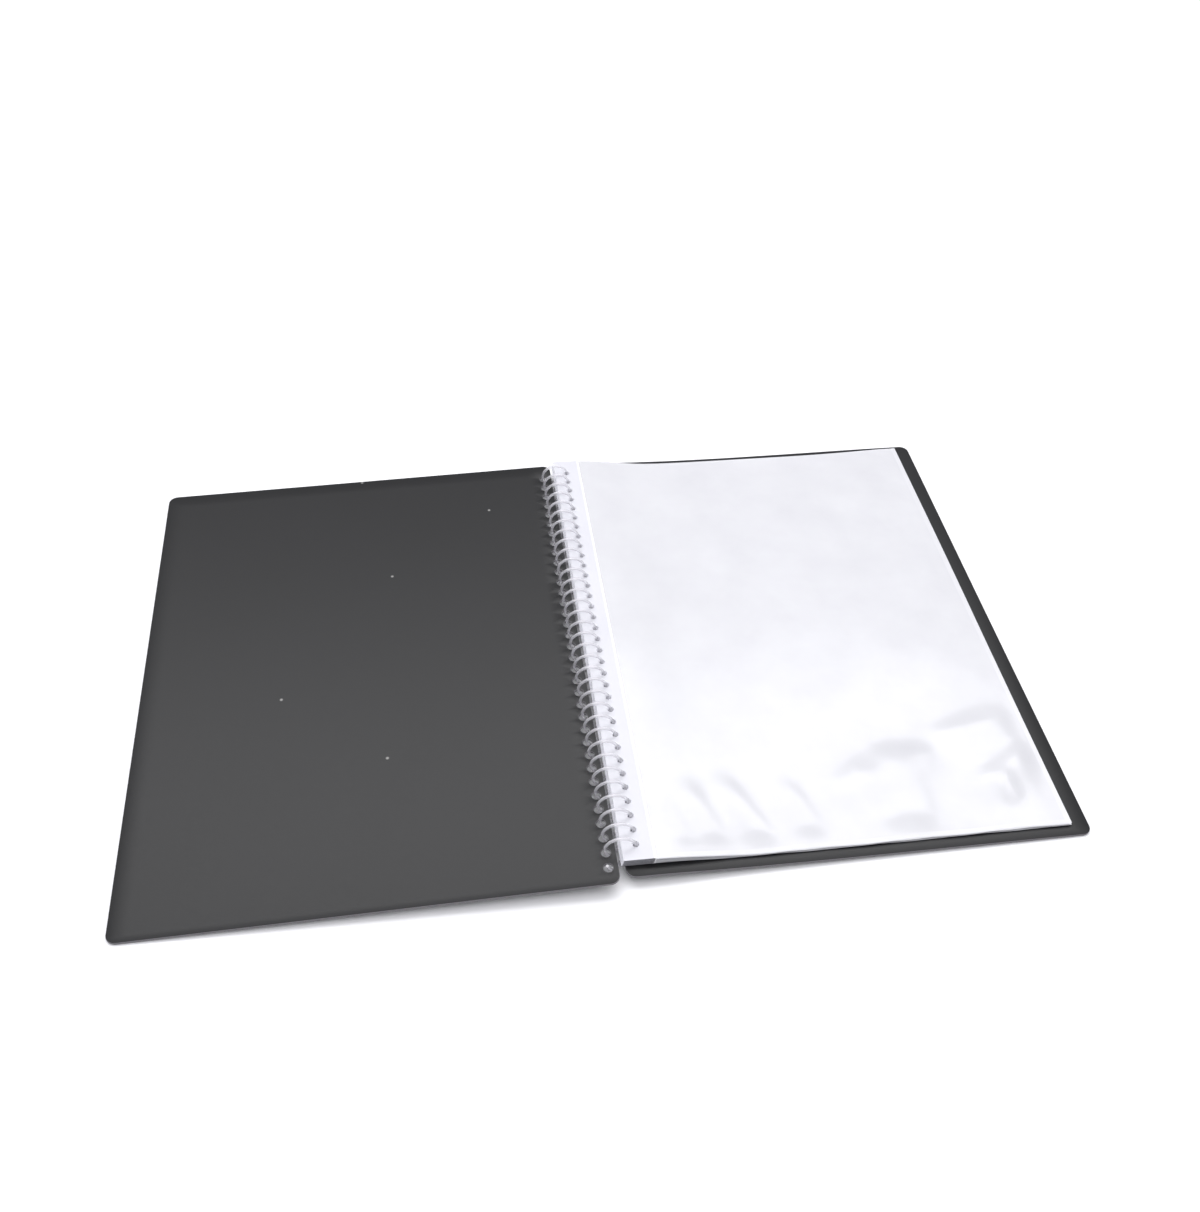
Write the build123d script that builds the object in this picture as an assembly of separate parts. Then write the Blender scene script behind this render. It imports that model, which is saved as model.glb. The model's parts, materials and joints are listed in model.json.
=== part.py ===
"""Spiral-bound display book with clear pockets, lying open on a table.

The front cover lies open to the left (-X), the rear cover and its stack of
pocket leaves lie to the right (+X), and the clear coil runs along Y between
them. Sizes are in millimetres, +Z is up, and the origin is on the table under
the middle of the open book.

Each sheet hangs on the coil: seen along the coil's axis it is a line at its own
offset from that axis, and its holes lie on the circle of the coil's wire. So
every sheet turns about the axis with its holes staying on the wire.
"""
from build123d import *
import os
from math import asin, atan2, ceil, cos, degrees, hypot, radians, sin, sqrt

# Covers
COVER_WIDTH = 240.0
COVER_HEIGHT = 310.0
COVER_THICK = 1.2
COVER_CORNER = 5.0
COVER_HOLE = 4.8
COVER_EDGE = 5.0        # middle of a hole to the binding edge
FRONT_LEAD = 2.3        # front cover's sheet, further to the near end than its holes

# Pocket leaves
LEAVES = 20
FILM = 0.05
POCKET_ROOM = 0.06      # between the two films of a pocket
LEAF_GAP = 0.08
STRIP_HOLE = 3.4
STRIP_EDGE = 7.4        # middle of a hole to the binding edge
STRIP_INNER = 8.2       # middle of a hole to the weld of strip and films
SEAM = 2.5              # weld between the films, at the fore edge and the near end
FORE_MARGIN = 9.5       # rear cover past the pockets at the fore edge
NEAR_MARGIN = 6.5       # and at the near end
FAR_MARGIN = 3.5        # and at the far end, where the pockets open

# Coil
HOLE_PITCH = 25.4 / 3
END_MARGIN = 12.0       # least distance of the last hole from a cover's end
WIRE = 1.6
COIL_ROOM = 3.6         # coil's wire beyond half of the closed book's thickness
BLOCK_DROP = 0.9        # middle of the closed book under the coil's axis
SIDE_CLEARANCE = 0.3    # wire to the rim of a strip's hole, along the coil
CLOSED_GAP = 1.0        # front cover to the top leaf at the coil, when closed
FORE_GAP = 2.5          # and at the fore edge, because filled pockets stand up a little
STEP_MARGIN = 9.5       # degrees the wire stays in its plane under a cover
TAIL_RISE = 0.5         # near tail above the front cover, under the turned leaves
SAMPLES = 24            # measuring points on each arc of the coil

# Thicknesses and places that follow
STRIP_THICK = 2 * FILM + POCKET_ROOM
LEAF_PITCH = STRIP_THICK + LEAF_GAP
STACK = LEAVES * LEAF_PITCH
CLOSED_BLOCK = 2 * COVER_THICK + STACK + CLOSED_GAP
COIL_RADIUS = CLOSED_BLOCK / 2 + COIL_ROOM
REAR_LOW = CLOSED_BLOCK / 2 + BLOCK_DROP
REAR_OFFSET = COVER_THICK / 2 - REAR_LOW
FRONT_HIGH = CLOSED_BLOCK / 2 - BLOCK_DROP
FRONT_OFFSET = FRONT_HIGH - COVER_THICK / 2
TOP_OFFSET = FRONT_OFFSET - COVER_THICK / 2 - CLOSED_GAP - STRIP_THICK / 2
SIDE_PLAY = (STRIP_HOLE - WIRE) / 2 - SIDE_CLEARANCE

LOOPS = int((COVER_HEIGHT - 2 * END_MARGIN) / HOLE_PITCH) + 1
FIRST_LOOP = -HOLE_PITCH * (LOOPS - 1) / 2
LOOP_YS = [FIRST_LOOP + HOLE_PITCH * k for k in range(LOOPS)]
RIGHT_ANGLE = -degrees(asin(REAR_LOW / COIL_RADIUS)) - STEP_MARGIN
LEFT_ANGLE = 180 + degrees(asin(FRONT_HIGH / COIL_RADIUS)) + STEP_MARGIN
TAIL_DROP = FRONT_OFFSET - COVER_THICK / 2 - TAIL_RISE + WIRE
TAIL_ANGLE = 180 + degrees(asin(TAIL_DROP / COIL_RADIUS))


def hole_reach(offset):
    """Distance along a sheet from the coil's axis to its holes."""
    return sqrt(COIL_RADIUS ** 2 - offset ** 2)


def on_coil(angle, y):
    """Point on the wire's circle, in degrees from +X over the top."""
    turn = radians(angle)
    return Vector(COIL_RADIUS * cos(turn), y, COIL_RADIUS * sin(turn))


def along_coil(angle):
    """Direction of the wire at that angle, going over the top to the left."""
    turn = radians(angle)
    return Vector(-sin(turn), 0, cos(turn))


def loop_arcs(start, end, y):
    """Wire in one plane square to the axis, as arcs of a half turn at most."""
    count = ceil((end - start) / 180)
    arcs = []
    for k in range(count):
        first = start + (end - start) * k / count
        last = start + (end - start) * (k + 1) / count
        middle = on_coil((first + last) / 2, y)
        arcs.append(Edge.make_three_point_arc(on_coil(first, y), middle, on_coil(last, y)))
    return arcs


def step_arcs(y):
    """Two tangent arcs under the covers, from one loop's plane to the next."""
    start = on_coil(LEFT_ANGLE, y)
    end = on_coil(RIGHT_ANGLE, y + HOLE_PITCH)
    leave = along_coil(LEFT_ANGLE)
    enter = along_coil(RIGHT_ANGLE)
    span = end - start
    both = leave + enter
    bend = 2 * (1 - leave.dot(enter))
    reach = (sqrt(span.dot(both) ** 2 + bend * span.dot(span)) - span.dot(both)) / bend
    middle = (start + leave * reach + end - enter * reach) * 0.5
    first = Edge.make_tangent_arc(start, leave, middle)
    second = Edge.make_tangent_arc(middle, first % 1, end)
    return [first, second]


def coil_edges():
    """Middle line of the coil, from its near tail to its far tail."""
    tail_y = LOOP_YS[0] - HOLE_PITCH
    tail = on_coil(TAIL_ANGLE, tail_y)
    edges = [Edge.make_line(tail - along_coil(TAIL_ANGLE) * WIRE, tail)]
    edges += loop_arcs(TAIL_ANGLE, LEFT_ANGLE, tail_y)
    edges += step_arcs(tail_y)
    for y in LOOP_YS:
        edges += loop_arcs(RIGHT_ANGLE, LEFT_ANGLE, y)
        if y != LOOP_YS[-1]:
            edges += step_arcs(y)
    last = step_arcs(LOOP_YS[-1])[0]
    edges.append(last)
    edges.append(Edge.make_line(last @ 1, (last @ 1) + (last % 1) * WIRE))
    return edges


def coil_points(edges):
    """Points along the middle line, each with its distance from the start."""
    points = []
    gone = 0.0
    for edge in edges:
        for k in range(SAMPLES):
            points.append((gone + edge.length * k / SAMPLES, edge @ (k / SAMPLES)))
        gone += edge.length
    return points


def least_gap(points):
    """Least gap of the wire to itself, past a quarter turn along it."""
    quarter = COIL_RADIUS * radians(90)
    window = 4 * quarter + 4 * HOLE_PITCH
    least = window
    for i, (gone, point) in enumerate(points):
        for other_gone, other in points[i + 1:]:
            if other_gone - gone > window:
                break
            if other_gone - gone > quarter:
                least = min(least, (other - point).length - WIRE)
    return least


def sheet_plane(direction, height):
    """Plane of a sheet through the coil's axis: x away from it, y along it."""
    turn = radians(direction)
    away = Vector(cos(turn), 0, sin(turn))
    return Plane(origin=(0, 0, height), x_dir=away, z_dir=Vector(-sin(turn), 0, cos(turn)))


def resting_tilt(height, low, reach):
    """Degrees a cover drops from the coil until its fore edge is on the table."""
    return degrees(asin(height / hypot(reach, low)) - atan2(low, reach))


def punched_sheet(outline, hole, reach, hole_ys, thick, offset):
    """Flat sheet with its row of holes, at an offset from the coil's axis."""
    face = outline - [Pos(reach, y) * Circle(hole / 2) for y in hole_ys]
    return Pos(0, 0, offset - thick / 2) * extrude(face, thick)


def cover(offset, middle_y, hole_ys):
    """One cover in the frame of its plane."""
    reach = hole_reach(offset)
    middle_x = reach - COVER_EDGE + COVER_WIDTH / 2
    outline = Pos(middle_x, middle_y) * RectangleRounded(COVER_WIDTH, COVER_HEIGHT, COVER_CORNER)
    return punched_sheet(outline, COVER_HOLE, reach, hole_ys, COVER_THICK, offset)


def strip(offset, hole_ys):
    """Punched binding strip of one leaf, in the frame of its plane."""
    reach = hole_reach(offset)
    middle_x = reach + (STRIP_INNER - STRIP_EDGE) / 2
    outline = Pos(middle_x, LEAF_Y) * Rectangle(STRIP_EDGE + STRIP_INNER, LEAF_LENGTH)
    return punched_sheet(outline, STRIP_HOLE, reach, hole_ys, STRIP_THICK, offset)


def films(offset):
    """Two films of one pocket and the welds between them, open at the far end."""
    start = hole_reach(offset) + STRIP_INNER
    width = POCKET_FORE - start
    middle_x = start + width / 2
    rise = (POCKET_ROOM + FILM) / 2
    film = Box(width, LEAF_LENGTH, FILM)
    near_y = LEAF_Y - (LEAF_LENGTH - SEAM) / 2
    return Compound([
        Pos(middle_x, LEAF_Y, offset + rise) * film,
        Pos(middle_x, LEAF_Y, offset - rise) * film,
        Pos(POCKET_FORE - SEAM / 2, LEAF_Y, offset) * Box(SEAM, LEAF_LENGTH, POCKET_ROOM),
        Pos(middle_x - SEAM / 2, near_y, offset) * Box(width - SEAM, SEAM, POCKET_ROOM),
    ])


# Coil and the height of its axis over the table
path = coil_edges()
points = coil_points(path)
AXIS_HEIGHT = WIRE / 2 - min(point.Z for gone, point in points)
section = Plane(origin=path[0] @ 0, z_dir=path[0] % 0) * Circle(WIRE / 2)
coil = Pos(0, 0, AXIS_HEIGHT) * sweep(section, path=Wire(path))

# Sheets, each in its own plane
REAR_FORE = hole_reach(REAR_OFFSET) - COVER_EDGE + COVER_WIDTH
FRONT_FORE = hole_reach(FRONT_OFFSET) - COVER_EDGE + COVER_WIDTH
POCKET_FORE = REAR_FORE - FORE_MARGIN
LEAF_LENGTH = COVER_HEIGHT - NEAR_MARGIN - FAR_MARGIN
LEAF_Y = SIDE_PLAY + (NEAR_MARGIN - FAR_MARGIN) / 2
rear_tilt = resting_tilt(AXIS_HEIGHT, REAR_LOW, REAR_FORE)
front_tilt = resting_tilt(AXIS_HEIGHT, FRONT_HIGH, FRONT_FORE)
rear_plane = sheet_plane(-rear_tilt, AXIS_HEIGHT)
front_plane = sheet_plane(180 + front_tilt, AXIS_HEIGHT)
right_ys = [y + SIDE_PLAY for y in LOOP_YS]
left_ys = [y - SIDE_PLAY for y in [LOOP_YS[0] - HOLE_PITCH] + LOOP_YS]

nodes = {
    "spiral_coil": coil,
    "rear_cover": rear_plane * cover(REAR_OFFSET, SIDE_PLAY, right_ys),
    "front_cover": front_plane * cover(FRONT_OFFSET, -SIDE_PLAY - FRONT_LEAD, left_ys),
}
for leaf in range(LEAVES):
    leaf_offset = TOP_OFFSET - LEAF_PITCH * leaf
    nodes[f"pocket_{leaf + 1:02d}_strip"] = rear_plane * strip(leaf_offset, right_ys)
    nodes[f"pocket_{leaf + 1:02d}_films"] = rear_plane * films(leaf_offset)

# Origin on the table, under the middle of the open book
left = nodes["front_cover"].bounding_box()
right = nodes["rear_cover"].bounding_box()
AXIS_X = -(left.min.X + right.max.X) / 2
to_origin = Pos(AXIS_X, -(left.min.Y + right.max.Y) / 2, 0)

os.makedirs("parts", exist_ok=True)
for name, shape in nodes.items():
    export_step(to_origin * shape, f"parts/{name}.step")

# What the joints take from these sizes
front_inner = FRONT_OFFSET - COVER_THICK / 2
top_face = TOP_OFFSET + STRIP_THICK / 2
lean = degrees(asin((front_inner - top_face - FORE_GAP) / POCKET_FORE))
print(f"coil axis at x {AXIS_X:.4f}, z {AXIS_HEIGHT:.4f}, loops {LOOPS}, radius {COIL_RADIUS:.3f}")
print(f"front cover closes through {180 + front_tilt + rear_tilt + lean:.3f} degrees")
print(f"rear tilt {rear_tilt:.3f}, front tilt {front_tilt:.3f}")
print(f"leaf {POCKET_FORE - hole_reach(TOP_OFFSET) + STRIP_EDGE:.1f} by {LEAF_LENGTH:.1f}")
print(f"coil's least gap to itself {least_gap(points):.2f}, wire {points[-1][0]:.0f} long")
print(f"coil volume {coil.volume:.1f}, section times length {points[-1][0] * 3.14159 * WIRE ** 2 / 4:.1f}")
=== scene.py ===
"""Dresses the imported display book: covers, clear coil and clear pockets.

Lengths inside the classes are in millimetres and become metres when a mesh is
made. A sheet has its own flat frame: u runs away from the coil's axis along the
sheet, y runs along the coil, and n stands on the sheet's upper face.
"""

import json
import logging
import math
from dataclasses import dataclass
from enum import Enum
from typing import Any, Callable, Dict, List, Optional, Sequence, Tuple

import bmesh
import bpy
import numpy as np
from mathutils import Matrix, Vector
from mathutils.geometry import delaunay_2d_cdt


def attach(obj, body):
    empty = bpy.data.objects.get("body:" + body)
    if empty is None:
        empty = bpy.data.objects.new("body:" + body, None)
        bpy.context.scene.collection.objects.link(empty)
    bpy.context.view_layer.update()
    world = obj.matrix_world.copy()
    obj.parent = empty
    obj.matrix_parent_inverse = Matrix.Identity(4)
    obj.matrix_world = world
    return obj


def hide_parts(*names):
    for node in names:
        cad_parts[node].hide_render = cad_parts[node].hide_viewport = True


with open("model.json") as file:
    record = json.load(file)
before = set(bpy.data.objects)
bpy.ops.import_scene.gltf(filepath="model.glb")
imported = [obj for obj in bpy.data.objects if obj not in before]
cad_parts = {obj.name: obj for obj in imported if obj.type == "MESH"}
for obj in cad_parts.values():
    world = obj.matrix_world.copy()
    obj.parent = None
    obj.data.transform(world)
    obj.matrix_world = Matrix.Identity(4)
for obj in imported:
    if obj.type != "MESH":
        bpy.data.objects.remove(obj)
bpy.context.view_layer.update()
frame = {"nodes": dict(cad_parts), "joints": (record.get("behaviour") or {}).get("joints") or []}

MM = 0.001
SEED = 20
LEAVES = 20
HOLE_PITCH = 25.4 / 3
LOOPS = 34
LOOP_MIDDLE = 1.15  # middle of the row of loops along the coil
SIDE_PLAY = 0.6  # loop to the middle of its hole along the coil, opposite in the two covers
FINE_GRIDS = {1: 2.2, 2: 3.0, 3: 3.6}  # grid of the films that show, by leaf
PLAIN_GRID = 5.5
FULL_TURN = 6.28  # radians, near enough for a random phase
SAME_POINT = 1e-5  # mm, nearer points are one
log = logging.getLogger("display_book")

Pair = Tuple[float, float]
Height = Callable[[np.ndarray, np.ndarray], np.ndarray]


class Side(Enum):
    """Side of the coil on which a sheet lies at rest."""

    LEFT = -1
    RIGHT = 1


def linear(code: str) -> Tuple[float, float, float, float]:
    """Turns an sRGB hex value to linear light.

    Args:
        code: Six hex digits after a number sign.

    Returns:
        Linear red, green, blue and an alpha of one.
    """
    parts = [int(code[k:k + 2], 16) / 255 for k in (1, 3, 5)]
    r, g, b = (p / 12.92 if p <= 0.04045 else ((p + 0.055) / 1.055) ** 2.4 for p in parts)
    return r, g, b, 1.0


def per_metre(size: float) -> float:
    """Scale of a pattern in object coordinates whose feature has that size in mm."""
    return 1 / (size * MM)


def add_node(tree: bpy.types.NodeTree, kind: str, values: Optional[Dict[Any, Any]] = None,
             links: Optional[Dict[Any, bpy.types.NodeSocket]] = None, **settings: Any) -> bpy.types.Node:
    """Adds one node with its settings, socket values and incoming links.

    Args:
        tree: Node tree to add to.
        kind: Blender's type name of the node.
        values: Values by input name or number.
        links: Output sockets by the input name or number they go into.
        settings: Properties of the node itself.

    Returns:
        The new node.
    """
    node = tree.nodes.new(kind)
    for key, value in settings.items():
        setattr(node, key, value)
    for key, value in (values or {}).items():
        node.inputs[key].default_value = value
    for key, socket in (links or {}).items():
        tree.links.new(socket, node.inputs[key])
    return node


def new_material(name: str) -> Tuple[bpy.types.Material, bpy.types.NodeTree, bpy.types.Node]:
    """Starts a material.

    Args:
        name: Name of the material.

    Returns:
        The material, its node tree and its shader node.
    """
    mat = bpy.data.materials.new(name)
    mat.use_nodes = True
    return mat, mat.node_tree, mat.node_tree.nodes["Principled BSDF"]


def new_object(name: str, data: bpy.types.ID) -> bpy.types.Object:
    """Adds an object with that data to the scene, at the origin."""
    obj = bpy.data.objects.new(name, data)
    bpy.context.scene.collection.objects.link(obj)
    return obj


def smooth(x: np.ndarray) -> np.ndarray:
    """Smooth step from 0 to 1 for values between 0 and 1."""
    t = np.clip(x, 0.0, 1.0)
    return t * t * (3 - 2 * t)


# Finishes


@dataclass(frozen=True)
class SheetPlastic:
    """Extruded dark grey polypropylene sheet with a fine matt grain, die cut.

    The grain breaks up reflections, the cut edges carry a painted highlight, a paler
    grey for the light they catch, and the faces carry a little dust.
    """

    name: str = "matt_polypropylene_sheet"
    face: str = "#131314"
    face_light: str = "#171719"
    # painted highlight: paler grey for the light that the cut edges catch
    cut: str = "#6b696d"
    dust: str = "#8f8e8c"
    grain_mm: float = 0.9  # drawn coarser than the real 0.2 mm so that it shows
    grain_depth_mm: float = 0.05
    grain_strength: float = 0.12
    cloud_mm: float = 70.0
    dust_mm: float = 62.0
    dust_share: float = 0.35
    speck_mm: Pair = (0.372, 1.054)  # radii where a speck begins to fade and where it ends
    roughness: Pair = (0.32, 0.46)
    gloss: float = 0.35
    ior: float = 1.49

    def build(self) -> bpy.types.Material:
        """Makes the material.

        Returns:
            The finished material.
        """
        mat, tree, shader = new_material(self.name)
        place = add_node(tree, "ShaderNodeTexCoord").outputs["Object"]
        cloud = add_node(tree, "ShaderNodeTexNoise", {"Scale": per_metre(self.cloud_mm), "Detail": 3.0},
                         {"Vector": place})
        face = add_node(tree, "ShaderNodeMix", {6: linear(self.face), 7: linear(self.face_light)},
                        {0: cloud.outputs["Fac"]}, data_type="RGBA")
        fleck = self.flecks(tree, place)
        dusty = add_node(tree, "ShaderNodeMix", {7: linear(self.dust)}, {0: fleck, 6: face.outputs[2]},
                         data_type="RGBA")
        # mask of the cut faces, where the painted highlight is mixed into the colour
        rim = add_node(tree, "ShaderNodeAttribute", attribute_name="cut_edge_highlight")
        colour = add_node(tree, "ShaderNodeMix", {7: linear(self.cut)},
                          {0: rim.outputs["Fac"], 6: dusty.outputs[2]}, data_type="RGBA")
        grain = add_node(tree, "ShaderNodeTexNoise", {"Scale": per_metre(self.grain_mm), "Detail": 2.0},
                         {"Vector": place})
        even, rough = self.roughness
        matt = add_node(tree, "ShaderNodeMapRange", {"To Min": even, "To Max": rough},
                        {"Value": grain.outputs["Fac"]})
        bump = add_node(tree, "ShaderNodeBump",
                        {"Strength": self.grain_strength, "Distance": self.grain_depth_mm * MM},
                        {"Height": grain.outputs["Fac"]})
        shader.inputs["IOR"].default_value = self.ior
        shader.inputs["Specular IOR Level"].default_value = self.gloss
        tree.links.new(colour.outputs[2], shader.inputs["Base Color"])
        tree.links.new(matt.outputs["Result"], shader.inputs["Roughness"])
        tree.links.new(bump.outputs["Normal"], shader.inputs["Normal"])
        return mat

    def flecks(self, tree: bpy.types.NodeTree, place: bpy.types.NodeSocket) -> bpy.types.NodeSocket:
        """Scatters specks of dust over the sheet.

        Args:
            tree: Node tree of the material.
            place: Coordinates on the sheet.

        Returns:
            One on a speck and zero beside it.
        """
        core, end = (radius / self.dust_mm for radius in self.speck_mm)
        specks = add_node(tree, "ShaderNodeTexVoronoi", {"Scale": per_metre(self.dust_mm), "Randomness": 1.0},
                          {"Vector": place}, voronoi_dimensions="2D")
        near = add_node(tree, "ShaderNodeMapRange",
                        {"From Min": core, "From Max": end, "To Min": 1.0, "To Max": 0.0},
                        {"Value": specks.outputs["Distance"]})
        chance = add_node(tree, "ShaderNodeSeparateColor", {}, {"Color": specks.outputs["Color"]})
        chosen = add_node(tree, "ShaderNodeMath", {1: self.dust_share}, {0: chance.outputs["Red"]},
                          operation="LESS_THAN")
        return add_node(tree, "ShaderNodeMath", {},
                        {0: near.outputs["Result"], 1: chosen.outputs["Value"]},
                        operation="MULTIPLY").outputs["Value"]


@dataclass(frozen=True)
class ClearPlastic:
    """Drawn PVC filament: clear, smooth and glossy, a little lavender in the mass.

    Its surface shines, and its body is hazy enough to stand out on a dark cover.
    """

    name: str = "clear_pvc_filament"
    colour: str = "#f8f7fc"
    roughness: Pair = (0.03, 0.09)
    transmission: float = 0.4
    alpha: float = 0.58
    coat: float = 1.0
    ior: float = 1.5
    streak_mm: float = 6.0

    def build(self) -> bpy.types.Material:
        """Makes the material.

        Returns:
            The finished material.
        """
        mat, tree, shader = new_material(self.name)
        place = add_node(tree, "ShaderNodeTexCoord").outputs["Object"]
        haze = add_node(tree, "ShaderNodeTexNoise", {"Scale": per_metre(self.streak_mm), "Detail": 2.0},
                        {"Vector": place})
        even, rough = self.roughness
        streak = add_node(tree, "ShaderNodeMapRange", {"To Min": even, "To Max": rough},
                          {"Value": haze.outputs["Fac"]})
        shader.inputs["Base Color"].default_value = linear(self.colour)
        shader.inputs["IOR"].default_value = self.ior
        shader.inputs["Transmission Weight"].default_value = self.transmission
        shader.inputs["Alpha"].default_value = self.alpha
        shader.inputs["Coat Weight"].default_value = self.coat
        tree.links.new(streak.outputs["Result"], shader.inputs["Roughness"])
        return mat


@dataclass(frozen=True)
class MilkyPlastic:
    """Polypropylene film or strip: see-through, hazy white, with a soft gloss.

    Where films cling together the haze differs a little from place to place.
    """

    name: str
    colour: str
    shade: str
    alpha: float
    roughness: float
    haze_spread: float = 0.05
    cling_mm: float = 38.0
    ripple_mm: float = 5.0
    ripple_depth_mm: float = 0.1
    ripple_strength: float = 0.05
    weld_alpha: float = 0.38
    gloss: float = 0.5
    coat: float = 0.0
    ior: float = 1.49
    # painted glow: emission on the strips' long cuts and hole walls, standing in for light scattered inside
    edge_glow: float = 0.0
    # painted shade: darker grey on the strips' ends, standing in for the dark seen through the clear ends
    end: str = "#77777d"
    end_facing: Pair = (0.85, 0.95)  # how far a face looks along the coil, for an end
    cut_facing: Pair = (0.3, 0.7)  # how far a face looks up or down, from a cut to a sheet's face

    def build(self) -> bpy.types.Material:
        """Makes the material.

        Returns:
            The finished material.
        """
        mat, tree, shader = new_material(self.name)
        place = add_node(tree, "ShaderNodeTexCoord").outputs["Object"]
        cling = add_node(tree, "ShaderNodeTexNoise", {"Scale": per_metre(self.cling_mm), "Detail": 3.0},
                         {"Vector": place})
        colour = add_node(tree, "ShaderNodeMix", {6: linear(self.shade), 7: linear(self.colour)},
                          {0: cling.outputs["Fac"]}, data_type="RGBA").outputs[2]
        weld = add_node(tree, "ShaderNodeAttribute", attribute_name="weld")
        haze = add_node(tree, "ShaderNodeMapRange",
                        {"To Min": self.alpha - self.haze_spread, "To Max": self.alpha + self.haze_spread},
                        {"Value": cling.outputs["Fac"]})
        alpha = add_node(tree, "ShaderNodeMapRange", {"To Max": self.weld_alpha},
                         {"Value": weld.outputs["Fac"], "To Min": haze.outputs["Result"]})
        ripple = add_node(tree, "ShaderNodeTexNoise", {"Scale": per_metre(self.ripple_mm), "Detail": 1.0},
                          {"Vector": place})
        bump = add_node(tree, "ShaderNodeBump",
                        {"Strength": self.ripple_strength, "Distance": self.ripple_depth_mm * MM},
                        {"Height": ripple.outputs["Fac"]})
        if self.edge_glow:
            colour = self.cut_edges(tree, shader, colour)
        shader.inputs["IOR"].default_value = self.ior
        shader.inputs["Roughness"].default_value = self.roughness
        shader.inputs["Specular IOR Level"].default_value = self.gloss
        shader.inputs["Coat Weight"].default_value = self.coat
        shader.inputs["Coat Roughness"].default_value = self.roughness / 2
        tree.links.new(colour, shader.inputs["Base Color"])
        tree.links.new(alpha.outputs["Result"], shader.inputs["Alpha"])
        tree.links.new(bump.outputs["Normal"], shader.inputs["Normal"])
        return mat

    def cut_edges(self, tree: bpy.types.NodeTree, shader: bpy.types.Node,
                  colour: bpy.types.NodeSocket) -> bpy.types.NodeSocket:
        """Paints a glow on long cuts and holes, standing in for light scattered inside that comes out, and
        paints shade on the ends.

        Args:
            tree: Node tree of the material.
            shader: Its shader node.
            colour: Colour of the faces.

        Returns:
            Colour of the faces and ends.
        """
        stand = add_node(tree, "ShaderNodeTexCoord").outputs["Normal"]
        parts = add_node(tree, "ShaderNodeSeparateXYZ", {}, {"Vector": stand}).outputs
        upright, endwise = (add_node(tree, "ShaderNodeMath", {}, {0: parts[way]}, operation="ABSOLUTE")
                            .outputs["Value"] for way in "ZY")
        low, high = self.end_facing
        shaded_end = add_node(tree, "ShaderNodeMapRange", {"From Min": low, "From Max": high},
                          {"Value": endwise}).outputs["Result"]
        low, high = self.cut_facing
        long_cut = add_node(tree, "ShaderNodeMapRange",
                            {"From Min": low, "From Max": high, "To Min": self.edge_glow, "To Max": 0.0},
                            {"Value": upright}).outputs["Result"]
        glow = add_node(tree, "ShaderNodeMapRange", {"To Max": 0.0}, {"Value": shaded_end, "To Min": long_cut})
        # painted glow: the strip's own colour given off as emission
        shader.inputs["Emission Color"].default_value = linear(self.colour)
        tree.links.new(glow.outputs["Result"], shader.inputs["Emission Strength"])
        # mixes the painted shade onto the ends
        return add_node(tree, "ShaderNodeMix", {7: linear(self.end)}, {0: shaded_end, 6: colour},
                        data_type="RGBA").outputs[2]


# Frames and meshes


@dataclass(frozen=True)
class SheetFrame:
    """Flat frame of a sheet that hangs on the coil's axis."""

    axis: Pair
    away: Pair
    up: Pair

    @classmethod
    def of_node(cls, node: str, side: Side, axis: Pair) -> "SheetFrame":
        """Reads the frame from the upper face of a flat CAD node.

        Args:
            node: Name of the CAD node.
            side: Side of the coil on which it lies.
            axis: x and z of the coil's axis, in mm.

        Returns:
            The frame of that sheet.
        """
        least_rise = 0.9
        total = Vector((0, 0, 0))
        for poly in frame["nodes"][node].data.polygons:
            if poly.normal.z > least_rise:
                total += poly.normal * poly.area
        total.normalize()
        sign = side.value
        return cls(axis, (total.z * sign, -total.x * sign), (total.x, total.z))

    def place(self, u: np.ndarray, y: np.ndarray, n: np.ndarray) -> np.ndarray:
        """Turns flat coordinates to points.

        Args:
            u: Distances from the coil's axis, in mm.
            y: Places along the coil, in mm.
            n: Heights over the plane through the axis, in mm.

        Returns:
            Points in metres.
        """
        x = self.axis[0] + self.away[0] * u + self.up[0] * n
        z = self.axis[1] + self.away[1] * u + self.up[1] * n
        return np.stack([x, np.broadcast_to(y, x.shape), z], -1) * MM

    def extent(self, node: str) -> Tuple[np.ndarray, np.ndarray]:
        """Measures a CAD node.

        Args:
            node: Name of the node.

        Returns:
            Its least and greatest (u, y, n), in mm.
        """
        co = np.array([v.co for v in frame["nodes"][node].data.vertices], float) / MM
        flat = co[:, [0, 2]] - np.array(self.axis)
        uyn = np.stack([flat @ np.array(self.away), co[:, 1], flat @ np.array(self.up)], -1)
        return uyn.min(0), uyn.max(0)


def finish_mesh(name: str, points: np.ndarray, faces: Sequence[Sequence[int]], material: bpy.types.Material,
                sharp: float, marks: Dict[str, np.ndarray]) -> bpy.types.Object:
    """Makes an object from points and faces, turned outwards and smooth.

    Args:
        name: Name of the piece.
        points: Points in metres.
        faces: Corner numbers of each face.
        material: Finish of the piece.
        sharp: Degrees above which an edge stays sharp.
        marks: Values for each face, by attribute name.

    Returns:
        The new object at the origin.
    """
    mesh = bpy.data.meshes.new(name)
    mesh.from_pydata([tuple(p) for p in points], [], faces)
    for mark, values in marks.items():
        mesh.attributes.new(mark, "FLOAT", "FACE").data.foreach_set("value", np.asarray(values, np.float32))
    work = bmesh.new()
    work.from_mesh(mesh)
    bmesh.ops.recalc_face_normals(work, faces=work.faces)
    work.to_mesh(mesh)
    work.free()
    mesh.polygons.foreach_set("use_smooth", [True] * len(mesh.polygons))
    mesh.set_sharp_from_angle(angle=math.radians(sharp))
    mesh.materials.append(material)
    return new_object(name, mesh)


def quads(grid: np.ndarray) -> np.ndarray:
    """Corner numbers of the faces between the points of a grid."""
    return np.stack([grid[:-1, :-1], grid[1:, :-1], grid[1:, 1:], grid[:-1, 1:]], -1).reshape(-1, 4)


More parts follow.
